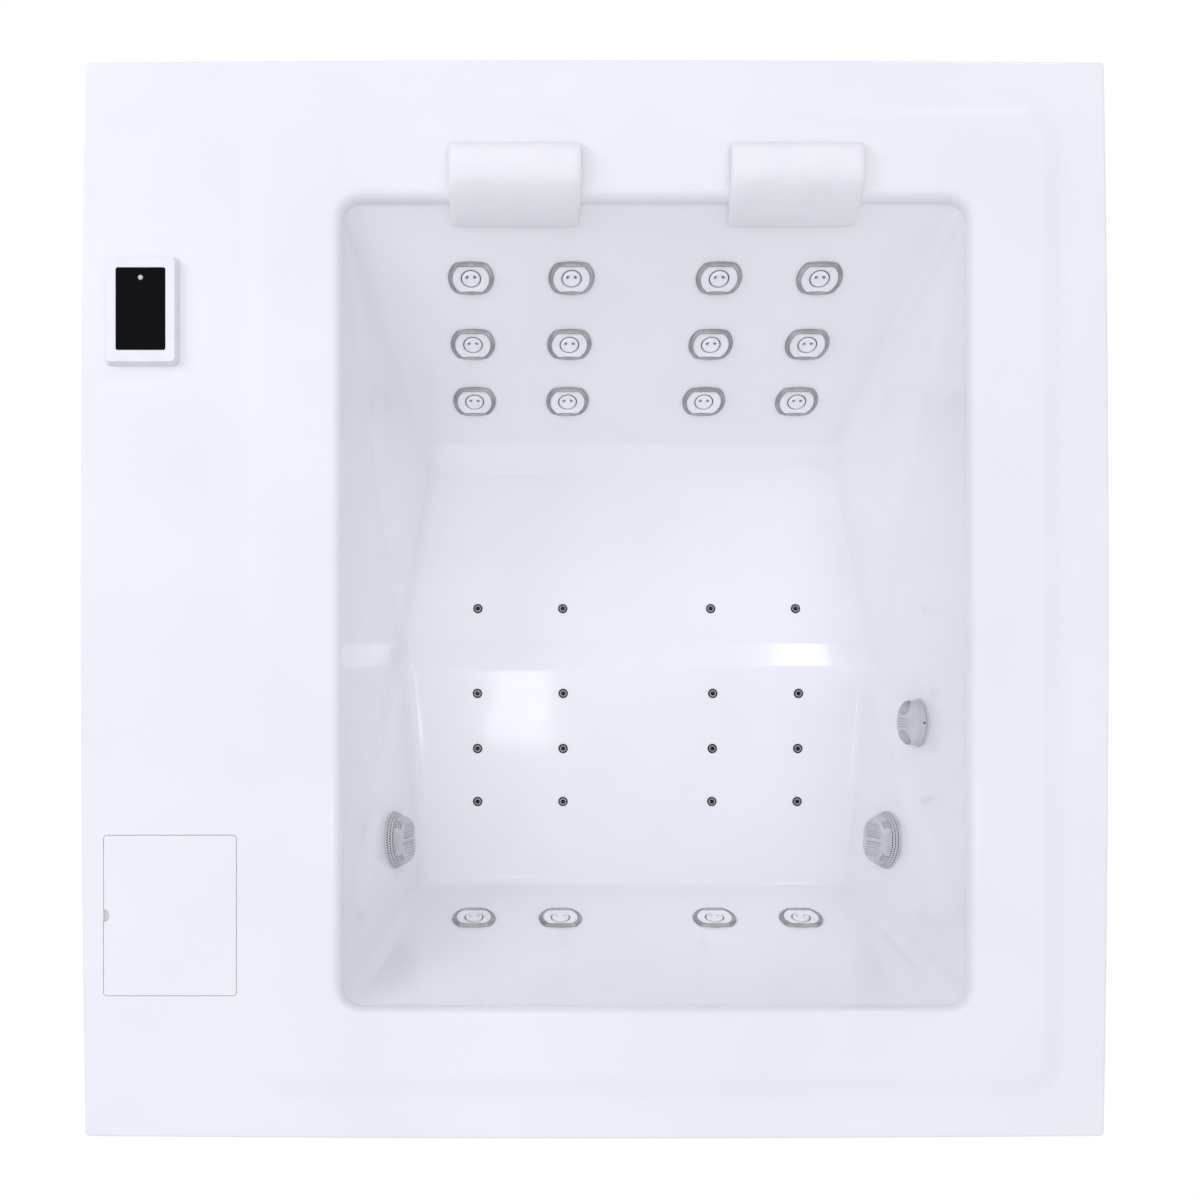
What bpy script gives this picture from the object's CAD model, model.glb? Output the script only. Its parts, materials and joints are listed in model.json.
"""Looks of a lounger hot tub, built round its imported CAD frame.

The script loads the frame, replaces the shell, pillows and visible fittings by smooth meshes of
the same size, dresses every piece and every CAD node in a procedural finish, and sets a plain
studio with a camera straight above the tub. Meshes are drawn in mm and handed over in metres.
"""

from __future__ import annotations

import json
import logging
import math
import sys
from dataclasses import dataclass, field
from enum import Enum
from functools import cached_property
from typing import Callable, Iterable, Sequence

import bmesh
import bpy
import numpy as np
from mathutils import Matrix, Vector

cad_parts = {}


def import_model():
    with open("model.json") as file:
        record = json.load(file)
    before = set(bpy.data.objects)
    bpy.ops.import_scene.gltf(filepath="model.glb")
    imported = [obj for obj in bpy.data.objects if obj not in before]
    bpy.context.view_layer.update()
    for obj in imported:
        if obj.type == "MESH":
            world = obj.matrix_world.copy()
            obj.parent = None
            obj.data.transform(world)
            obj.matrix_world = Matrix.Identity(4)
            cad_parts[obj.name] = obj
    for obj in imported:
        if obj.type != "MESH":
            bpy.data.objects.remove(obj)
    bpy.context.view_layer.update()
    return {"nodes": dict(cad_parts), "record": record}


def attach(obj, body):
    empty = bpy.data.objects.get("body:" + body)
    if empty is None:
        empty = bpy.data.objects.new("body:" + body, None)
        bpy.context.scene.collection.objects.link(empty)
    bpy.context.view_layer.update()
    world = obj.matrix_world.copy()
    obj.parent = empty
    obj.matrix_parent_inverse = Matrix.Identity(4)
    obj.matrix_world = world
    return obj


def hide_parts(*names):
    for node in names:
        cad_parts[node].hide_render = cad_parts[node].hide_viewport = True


MM = 0.001
SIDES = (-1, 1)
# Angles in degrees from which an edge stays sharp, for most, turned, domed and cut pieces
SHARP, SHARP_TURNED, SHARP_DOME, SHARP_CUT = 38.0, 45.0, 40.0, 34.0
# Gap in mm between a fitting and the wall that it sits on
SEAT_GAP = 0.35
Piece = bpy.types.Object
Socket = bpy.types.NodeSocket
WorkMesh = bmesh.types.BMesh
Point = tuple[float, float]
Point3 = tuple[float, float, float]
Outline = tuple[float, float, float, float]
Ring = tuple[np.ndarray, float | np.ndarray]
Solid = tuple[list[Point3], list[tuple[int, ...]]]
log = logging.getLogger("scene")


# Colour and node helpers

def linear(code: str) -> tuple[float, float, float, float]:
    """Turn an sRGB hex colour into the linear colour that a socket holds.

    Args:
        code: colour such as "#F6F7F9".

    Returns:
        Red, green, blue and alpha.
    """
    parts = [int(code[i:i + 2], 16) / 255 for i in (1, 3, 5)]
    light = [p / 12.92 if p <= 0.04045 else ((p + 0.055) / 1.055) ** 2.4 for p in parts]
    return (*light, 1.0)


def emptied(owner: bpy.types.Material | bpy.types.World) -> bpy.types.NodeTree:
    """Node tree of a material or world, without its nodes.

    Args:
        owner: the material or world.

    Returns:
        Its empty tree.
    """
    owner.use_nodes = True
    owner.node_tree.nodes.clear()
    return owner.node_tree


class Bench:
    """A node tree under construction, with short calls for the nodes that finishes share."""

    def __init__(self, tree: bpy.types.NodeTree) -> None:
        """Take the tree that the nodes are added to."""
        self.tree = tree

    def add(self, kind: str, inputs: dict | None = None, **fields: object) -> bpy.types.Node:
        """Add one node.

        Args:
            kind: node type name.
            inputs: socket name or index to a constant or to another node's output.
            fields: attributes of the node itself.

        Returns:
            The new node.
        """
        node = self.tree.nodes.new(kind)
        for name, value in fields.items():
            setattr(node, name, value)
        for key, value in (inputs or {}).items():
            self.feed(node.inputs[key], value)
        return node

    def feed(self, socket: Socket, value: Socket | float | tuple) -> None:
        """Link an output to a socket, or write a constant into it.

        Args:
            socket: input socket.
            value: the output or the constant.
        """
        if isinstance(value, Socket):
            self.tree.links.new(value, socket)
        else:
            socket.default_value = value

    def place(self) -> Socket:
        """Object coordinates, in metres."""
        return self.add("ShaderNodeTexCoord").outputs["Object"]

    def noise(self, size: float, detail: float = 2.0, rough: float = 0.5,
              at: Socket | None = None) -> Socket:
        """Noise from 0 to 1 whose blotches are about size mm wide.

        Args:
            size: width of the blotches in mm.
            detail: steps of finer noise.
            rough: share of the finer noise.
            at: coordinates, the object's own if left out.

        Returns:
            Value output.
        """
        return self.add("ShaderNodeTexNoise", {
            "Vector": at or self.place(), "Scale": 1.0 / (size * MM), "Detail": detail,
            "Roughness": rough}).outputs["Fac"]

    def cells(self, size: float, feature: str = "F1") -> Socket:
        """Distance to the nearest cell centre or edge, with cells about size mm wide.

        Args:
            size: width of the cells in mm.
            feature: what the distance leads to.

        Returns:
            Distance output.
        """
        return self.add("ShaderNodeTexVoronoi", {
            "Vector": self.place(), "Scale": 1.0 / (size * MM)}, feature=feature
            ).outputs["Distance"]

    def remap(self, value: Socket, low: float, high: float, to_low: float = 0.0,
              to_high: float = 1.0) -> Socket:
        """Map a range onto another one, clamped.

        Args:
            value: output that is mapped.
            low: start of its range.
            high: end of its range.
            to_low: what the start becomes.
            to_high: what the end becomes.

        Returns:
            Value output.
        """
        return self.add("ShaderNodeMapRange", {
            "Value": value, "From Min": low, "From Max": high, "To Min": to_low,
            "To Max": to_high}).outputs["Result"]

    def cloud(self, size: float, detail: float = 2.0, rough: float = 0.5, low: float = 0.3,
              high: float = 0.7, to_low: float = 0.0, to_high: float = 1.0) -> Socket:
        """Noise whose range from low to high is mapped onto another one, clamped."""
        return self.remap(self.noise(size, detail, rough), low, high, to_low, to_high)

    def specks(self, size: float, full: float, gone: float) -> Socket:
        """Spots in cells of size mm: 1 up to the distance full, 0 from gone on."""
        return self.remap(self.cells(size), full, gone, 1.0, 0.0)

    def math(self, operation: str, a: Socket | float, b: Socket | float) -> Socket:
        """Result of a math node on two values or sockets."""
        return self.add("ShaderNodeMath", {0: a, 1: b}, operation=operation).outputs[0]

    def times(self, a: Socket | float, b: Socket | float) -> Socket:
        """Product of two values or sockets."""
        return self.math("MULTIPLY", a, b)

    def mix(self, share: Socket, first: str | Socket, second: str | Socket) -> Socket:
        """Blend two colours.

        Args:
            share: share of the second colour.
            first: hex code or socket.
            second: hex code or socket.

        Returns:
            Colour output.
        """
        node = self.add("ShaderNodeMix", data_type="RGBA")
        self.feed(node.inputs["Factor"], share)
        for index, colour in ((6, first), (7, second)):
            self.feed(node.inputs[index], linear(colour) if isinstance(colour, str) else colour)
        return node.outputs[2]

    def bump(self, height: Socket, depth: float, normal: Socket | None = None) -> Socket:
        """Bump of depth mm from a height of 0 to 1, over another normal.

        Args:
            height: height output.
            depth: depth in mm.
            normal: normal that it adds to.

        Returns:
            Normal output.
        """
        inputs = {"Height": height, "Distance": depth * MM, "Strength": 1.0}
        under = {"Normal": normal} if normal else {}
        return self.add("ShaderNodeBump", inputs | under).outputs["Normal"]

    def rounded(self, radius: float) -> Socket:
        """Normal that looks rounded by radius mm at sharp edges."""
        return self.add("ShaderNodeBevel", {"Radius": radius * MM}, samples=4).outputs["Normal"]

    def edges(self, radius: float) -> Socket:
        """Mask that is 1 close to sharp edges and 0 on open faces.

        Args:
            radius: width of the edges in mm.

        Returns:
            Value output.
        """
        plain = self.add("ShaderNodeNewGeometry").outputs["Normal"]
        dot = self.add("ShaderNodeVectorMath", {0: self.rounded(radius), 1: plain},
                       operation="DOT_PRODUCT").outputs["Value"]
        return self.remap(dot, 0.995, 0.86)


class Principled(Bench):
    """A new material with one Principled shader, and the bench to feed it."""

    NAMES = {"colour": "Base Color", "ior": "IOR"}

    def __init__(self, name: str) -> None:
        """Make an empty material of that name.

        Args:
            name: material name.
        """
        self.material = bpy.data.materials.new(name)
        super().__init__(emptied(self.material))
        self.shader = self.add("ShaderNodeBsdfPrincipled")
        self.add("ShaderNodeOutputMaterial", {"Surface": self.shader.outputs["BSDF"]})

    def set(self, **values: object) -> None:
        """Feed shader sockets; a name such as coat_weight stands for the socket Coat Weight."""
        for name, value in values.items():
            socket = self.NAMES.get(name, name.replace("_", " ").title())
            self.feed(self.shader.inputs[socket], value)


# Finishes; cloud, noise and cell sizes, bump depths and edge radii are in mm

@dataclass(frozen=True)
class Finish:
    """What a surface is made of; a subclass says how its shader is fed."""

    name: str
    colour: str
    shade: str

    def tone(self, p: Principled, size: float, detail: float = 3.0) -> Socket:
        """Colour and shade in clouds about size mm wide."""
        return p.mix(p.cloud(size, detail), self.colour, self.shade)

    def dress(self, p: Principled) -> None:
        """Feed the shader of this finish."""
        raise NotImplementedError

    def material(self) -> bpy.types.Material:
        """The finish's material, made once.

        Returns:
            The material, with its shader fed.
        """
        known = bpy.data.materials.get(self.name)
        if known is not None:
            return known
        p = Principled(self.name)
        self.dress(p)
        p.material.diffuse_color = linear(self.colour)
        return p.material


@dataclass(frozen=True)
class AcrylicSheet(Finish):
    """Vacuum-formed acrylic: glossy skin, faint waviness, dried water film and fine scuffs."""

    dust: str = "#C9CCD6"
    film_share: float = 0.16
    dust_share: float = 0.10
    wave_depth: float = 0.096
    fine_depth: float = 0.0048

    def dress(self, p: Principled) -> None:
        """Gloss over a cool white sheet.

        Args:
            p: shader that is fed.
        """
        film = p.cloud(46.0, detail=5.0, rough=0.62, low=0.42, high=0.72)
        tinted = p.mix(p.times(film, self.film_share), self.tone(p, 340.0, 2.0), self.shade)
        dusty = p.mix(p.times(p.specks(9.0, 0.0, 0.06), self.dust_share), tinted, self.dust)
        wave = p.bump(p.noise(70.0, 1.0), self.wave_depth)
        p.set(colour=dusty, roughness=p.remap(film, 0.0, 1.0, 0.16, 0.26), ior=1.49,
              normal=p.bump(p.noise(3.2), self.fine_depth, wave), coat_weight=0.6,
              coat_roughness=0.07, coat_normal=wave)


@dataclass(frozen=True)
class Moulded(Finish):
    """Injection-moulded plastic: soft edges, fine mould grain, cloudy tone and handling marks."""

    roughness: float = 0.35
    grain: float = 0.9
    depth: float = 0.02
    edge: float = 0.8
    gloss: float = 0.0

    def dress(self, p: Principled) -> None:
        """Plastic with rounded-looking edges.

        Args:
            p: shader that is fed.
        """
        rub = p.times(p.edges(self.edge * 1.6), 0.35)
        marks = p.cloud(11.0, detail=5.0, rough=0.7, low=0.45, high=0.75,
                        to_low=self.roughness, to_high=self.roughness + 0.12)
        p.set(colour=p.mix(rub, self.tone(p, 38.0), self.colour), roughness=marks,
              normal=p.bump(p.noise(self.grain), self.depth, p.rounded(self.edge)),
              coat_weight=self.gloss, coat_roughness=0.08)


@dataclass(frozen=True)
class SatinMetal(Finish):
    """Plated or polished metal: fine turning lines, water spots and soft edges."""

    roughness: float = 0.24
    edge: float = 0.6
    lines: float = 1.1
    spot: str = "#8E9194"

    def dress(self, p: Principled) -> None:
        """Metal with faint lines and spots.

        Args:
            p: shader that is fed.
        """
        lines = p.noise(self.lines, 4.0, 0.6)
        spots = p.times(p.specks(6.0, 0.10, 0.16), 0.12)
        rough = p.remap(lines, 0.3, 0.7, self.roughness - 0.05, self.roughness + 0.08)
        p.set(colour=p.mix(spots, self.tone(p, 24.0, 2.0), self.spot), metallic=1.0,
              roughness=rough, normal=p.bump(lines, 0.004, p.rounded(self.edge)))


@dataclass(frozen=True)
class Painted(Finish):
    """Powder-coated steel: orange-peel skin, worn brighter along its edges, dusty on top."""

    worn: str = "#8C9094"
    roughness: float = 0.46
    peel: float = 1.6

    def dress(self, p: Principled) -> None:
        """Paint that has lost its skin at the edges.

        Args:
            p: shader that is fed.
        """
        chips = p.cloud(5.0, detail=5.0, rough=0.7, low=0.52, high=0.60)
        wear = p.times(p.edges(1.2), chips)
        rough = p.cloud(16.0, detail=4.0, to_low=self.roughness - 0.06,
                        to_high=self.roughness + 0.12)
        p.set(colour=p.mix(wear, self.tone(p, 60.0), self.worn), roughness=rough,
              metallic=p.times(wear, 0.8),
              normal=p.bump(p.noise(self.peel, 1.0), 0.03, p.rounded(1.0)))


@dataclass(frozen=True)
class DarkGlass(Finish):
    """Coated black glass: a dim reflection, with finger smears that only it shows."""

    def dress(self, p: Principled) -> None:
        """Dark glass with smears.

        Args:
            p: shader that is fed.
        """
        smear = p.cloud(22.0, detail=5.0, rough=0.66, low=0.46, high=0.70)
        dust = p.times(p.specks(4.0, 0.0, 0.05), 0.25)
        p.set(colour=p.mix(dust, self.colour, self.shade), ior=1.15,
              roughness=p.remap(smear, 0.0, 1.0, 0.05, 0.17), normal=p.rounded(0.7))


@dataclass(frozen=True)
class FoamSkin(Finish):
    """Integral-skin foam: closed soft skin with a faint leather-like pore pattern."""

    pore: float = 1.5

    def dress(self, p: Principled) -> None:
        """Soft skin with light under it.

        Args:
            p: shader that is fed.
        """
        pores = p.remap(p.cells(self.pore, "DISTANCE_TO_EDGE"), 0.0, 0.12)
        rubbed = p.cloud(18.0, detail=4.0, low=0.5, to_high=0.35)
        p.set(colour=p.mix(rubbed, self.tone(p, 60.0), self.colour),
              roughness=p.remap(rubbed, 0.0, 0.35, 0.48, 0.40), subsurface_weight=0.12,
              subsurface_scale=0.004, sheen_weight=0.08, sheen_roughness=0.4,
              normal=p.bump(pores, 0.02, p.bump(p.noise(60.0), 0.25)))


@dataclass(frozen=True)
class Rubber(Finish):
    """Black moulded rubber: matte, dusty in its low places."""

    def dress(self, p: Principled) -> None:
        """Matte rubber with pale dust.

        Args:
            p: shader that is fed.
        """
        dust = p.cloud(14.0, detail=5.0, rough=0.7, low=0.50, high=0.75, to_high=0.5)
        p.set(colour=p.mix(dust, self.colour, self.shade),
              roughness=p.remap(dust, 0.0, 0.5, 0.66, 0.88),
              normal=p.bump(p.noise(1.4), 0.05, p.rounded(1.2)))


@dataclass(frozen=True)
class Fleece(Finish):
    """Pleated polyester filter cloth: fine fibres, greyer where water has left its dirt."""

    def dress(self, p: Principled) -> None:
        """Fibrous cloth.

        Args:
            p: shader that is fed.
        """
        dirt = p.cloud(34.0, detail=4.0, low=0.42, high=0.72, to_high=0.6)
        p.set(colour=p.mix(dirt, self.colour, self.shade), roughness=0.85, sheen_weight=0.3,
              sheen_roughness=0.5, normal=p.bump(p.noise(0.7, 4.0, 0.7), 0.09))


@dataclass(frozen=True)
class WoodLook(Finish):
    """Synthetic cladding board: embossed grain along its height, faded in patches."""

    faded: str = "#8E8F92"
    stretch: float = 0.05

    def dress(self, p: Principled) -> None:
        """Board with long vertical grain.

        Args:
            p: shader that is fed.
        """
        along = p.add("ShaderNodeMapping", {
            "Vector": p.place(), "Scale": (1.0, 1.0, self.stretch)}).outputs["Vector"]
        grain = p.noise(3.4, 5.0, 0.62, along)
        streak = p.mix(p.remap(grain, 0.35, 0.65), self.colour, self.shade)
        patch = p.times(p.cloud(180.0, detail=3.0, low=0.4, to_high=0.6), 0.4)
        p.set(colour=p.mix(patch, streak, self.faded),
              roughness=p.remap(grain, 0.3, 0.7, 0.48, 0.66),
              normal=p.bump(grain, 0.16, p.rounded(1.2)))


class Slot(Enum):
    """Material slots of the record."""

    ACRYLIC = "acrylic"
    TUBE = "tube_paint"
    RUBBER = "foot_rubber"
    PANEL = "skirt_panel"
    SCREW = "screw_steel"
    CHROME = "jet_chrome"
    JET_WHITE = "jet_white"
    GREY = "fitting_grey"
    PIPE = "pipe_white"
    GLASS = "pod_glass"
    BLACK = "equipment_black"
    MOTOR = "motor_paint"
    HEATER = "heater_steel"
    FLEECE = "filter_fleece"
    FOAM = "pillow_foam"
    BOX = "box_grey"


# Real materials: acrylic sheet on resin, powder-coated tube, moulded ABS and PVC, plated ABS
FINISHES: dict[Slot, Finish] = {
    Slot.ACRYLIC: AcrylicSheet("acrylic_sheet", "#F6F7F9", "#F1F2F5"),
    Slot.TUBE: Painted("tube_powder_coat", "#9DA1A4", "#8A8E92"),
    Slot.RUBBER: Rubber("rubber", "#1D1E20", "#6A6964"),
    Slot.PANEL: WoodLook("cladding_board", "#D9DBE0", "#CBCED4"),
    Slot.SCREW: SatinMetal("stainless_screw", "#B9BCBF", "#A4A7AB", roughness=0.3),
    Slot.CHROME: SatinMetal("satin_chrome", "#B4B4B5", "#9C9C9E"),
    Slot.JET_WHITE: Moulded("white_abs", "#F7F7FA", "#F0F0F4", roughness=0.28, gloss=0.3),
    Slot.GREY: Moulded("grey_abs", "#D0D1D4", "#C6C8CC", roughness=0.42, edge=1.2),
    Slot.PIPE: Moulded("pipe_pvc", "#E9EAE6", "#DCDDD8", roughness=0.4, edge=1.0),
    Slot.GLASS: DarkGlass("black_glass", "#08090B", "#222328"),
    Slot.BLACK: Moulded("black_pp", "#232427", "#2E2F33", roughness=0.5, depth=0.05, edge=1.5),
    Slot.MOTOR: Painted("motor_paint", "#2B4A7A", "#25416C", worn="#A3A6A9", peel=2.2),
    Slot.HEATER: SatinMetal("heater_steel", "#B7BABD", "#9B9FA4", roughness=0.32, lines=2.4),
    Slot.FLEECE: Fleece("filter_cloth", "#DCE3EB", "#B9BDB6"),
    Slot.FOAM: FoamSkin("foam_skin", "#FAF9FB", "#F5F4F7"),
    Slot.BOX: Moulded("box_grey", "#A9ADB1", "#9A9EA3", roughness=0.5, depth=0.05, edge=1.5),
}


# Mesh helpers

def linked(name: str, data: bpy.types.ID) -> Piece:
    """New object in the scene's collection.

    Args:
        name: object name.
        data: its mesh, light or camera.

    Returns:
        The object.
    """
    piece = bpy.data.objects.new(name, data)
    bpy.context.scene.collection.objects.link(piece)
    return piece


def smoothed(mesh: bpy.types.Mesh, sharp: float = SHARP) -> None:
    """Shade a mesh smooth; edges that bend by more than sharp degrees stay sharp."""
    mesh.shade_smooth()
    mesh.set_sharp_from_angle(angle=math.radians(sharp))


def finish_mesh(name: str, solid: Solid, slot: Slot, sharp: float = SHARP) -> Piece:
    """Make a smooth-shaded object in metres from points in mm.

    Args:
        name: object name.
        solid: points in mm, and faces as corner numbers.
        slot: material slot.
        sharp: edges that bend by more degrees than this stay sharp.

    Returns:
        The object, linked into the scene, at the origin.
    """
    mesh = bpy.data.meshes.new(name)
    mesh.from_pydata([(x * MM, y * MM, z * MM) for x, y, z in solid[0]], [], list(solid[1]))
    return dressed(name, mesh, slot, sharp)


def dressed(name: str, mesh: bpy.types.Mesh, slot: Slot, sharp: float = SHARP) -> Piece:
    """Shade a mesh, give it its finish and link it as an object.

    Args:
        name: object name.
        mesh: mesh in metres.
        slot: material slot.
        sharp: edges that bend by more degrees than this stay sharp.

    Returns:
        The object.
    """
    mesh.update()
    smoothed(mesh, sharp)
    mesh.materials.append(FINISHES[slot].material())
    return linked(name, mesh)


def in_metres(name: str, bm: WorkMesh) -> bpy.types.Mesh:
    """Turn a work mesh in mm into a mesh in metres, and free it.

    Args:
        name: mesh name.
        bm: the work mesh.

    Returns:
        The new mesh.
    """
    bmesh.ops.scale(bm, vec=(MM, MM, MM), verts=bm.verts[:])
    mesh = bpy.data.meshes.new(name)
    bm.to_mesh(mesh)
    bm.free()
    return mesh


def stood(mesh: bpy.types.Mesh, place: Matrix) -> None:
    """Move a mesh in metres to a place given in mm."""
    mesh.transform(Matrix.Scale(MM, 4) @ place @ Matrix.Scale(1 / MM, 4))


def baked(piece: Piece) -> Piece:
    """Apply all modifiers of a piece by converting its evaluated mesh.

    Args:
        piece: object with modifiers.

    Returns:
        The same object, with a plain mesh.
    """
    bpy.context.view_layer.update()
    shape = piece.evaluated_get(bpy.context.evaluated_depsgraph_get())
    mesh = bpy.data.meshes.new_from_object(shape)
    piece.modifiers.clear()
    old, piece.data = piece.data, mesh
    bpy.data.meshes.remove(old)
    return piece


def carved(piece: Piece, cutter: Piece) -> Piece:
    """Cut a solid out of a piece, and remove the solid.

    Args:
        piece: object that is cut.
        cutter: object that is taken away.

    Returns:
        The cut object.
    """
    cut = piece.modifiers.new("cut", "BOOLEAN")
    cut.operation, cut.solver, cut.object = "DIFFERENCE", "EXACT", cutter
    baked(piece)
    bpy.data.objects.remove(cutter)
    return piece


def evened(piece: Piece) -> Piece:
    """Smooth a cut mesh with normals weighted by face size, so flat faces stay flat.

    Args:
        piece: object that was cut.

    Returns:
        The same object.
    """
    smoothed(piece.data, SHARP_CUT)
    piece.modifiers.new("even", "WEIGHTED_NORMAL").keep_sharp = True
    return baked(piece)


def settle(piece: Piece, body: str, slot: Slot, *nodes: str) -> Piece:
    """Let a piece ride on its body, take its slot and stand for CAD nodes.

    Args:
        piece: finished mesh object.
        body: name of the body that it moves with.
        slot: material slot.
        nodes: CAD nodes that it replaces.

    Returns:
        The same piece.
    """
    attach(piece, body)
    if nodes:
        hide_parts(*nodes)
    triangles = sum(len(p.vertices) - 2 for p in piece.data.polygons)
    log.info("%s: %d triangles on %s", piece.name, triangles, body)
    return piece


def arc_points(cx: float, cy: float, r: float, start: float, turn: float, steps: int
               ) -> list[Point]:
    """Points of an arc, both ends included, angles in degrees."""
    angles = [math.radians(start + turn * i / steps) for i in range(steps + 1)]
    return [(cx + r * math.cos(a), cy + r * math.sin(a)) for a in angles]


def rounded_rect(x0: float, x1: float, y0: float, y1: float, r: float, steps: int = 6
                 ) -> list[Point]:
    """Outline of a rounded rectangle, counter-clockwise from its front right corner.

    Args:
        x0: left side.
        x1: right side.
        y0: front side.
        y1: rear side.
        r: corner radius.
        steps: steps round each corner.

    Returns:
        Points of the outline.
    """
    return [p for cx, cy, a in ((x1 - r, y0 + r, -90), (x1 - r, y1 - r, 0),
                                (x0 + r, y1 - r, 90), (x0 + r, y0 + r, 180))
            for p in arc_points(cx, cy, r, a, 90, steps)]


def band(low: Sequence[int], high: Sequence[int]) -> list[tuple[int, ...]]:
    """Quads between two closed rings of point numbers; doubled points drop out.

    Args:
        low: first ring.
        high: second ring, as long as the first.

    Returns:
        Faces.
    """
    n = len(low)
    quads = [tuple(dict.fromkeys((low[i], low[(i + 1) % n], high[(i + 1) % n], high[i])))
             for i in range(n)]
    return [quad for quad in quads if len(quad) > 2]


def spin(profile: Sequence[Point], segments: int = 64) -> Solid:
    """Turn a profile about the z axis.

    Args:
        profile: (radius, height) pairs; radius 0 closes an end, and a profile that ends where
            it begins makes a ring.
        segments: steps round the axis.

    Returns:
        Points and faces.
    """
    verts: list[Point3] = []
    rows: list[Sequence[int]] = []
    ring = profile[0] == profile[-1]
    for r, z in profile[:-1] if ring else profile:
        if r == 0:
            rows.append([len(verts)] * segments)
            verts.append((0.0, 0.0, z))
            continue
        rows.append(range(len(verts), len(verts) + segments))
        turns = [2 * math.pi * i / segments for i in range(segments)]
        verts += [(r * math.cos(a), r * math.sin(a), z) for a in turns]
    pairs = zip(rows, rows[1:] + rows[:1] if ring else rows[1:])
    return verts, [face for low, high in pairs for face in band(low, high)]


def joined(first: Solid, second: Solid) -> Solid:
    """Two sets of points and faces as one."""
    shift = len(first[0])
    return first[0] + second[0], first[1] + [tuple(i + shift for i in f) for f in second[1]]


# Places on the basin, in mm, as the CAD source has them

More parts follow.
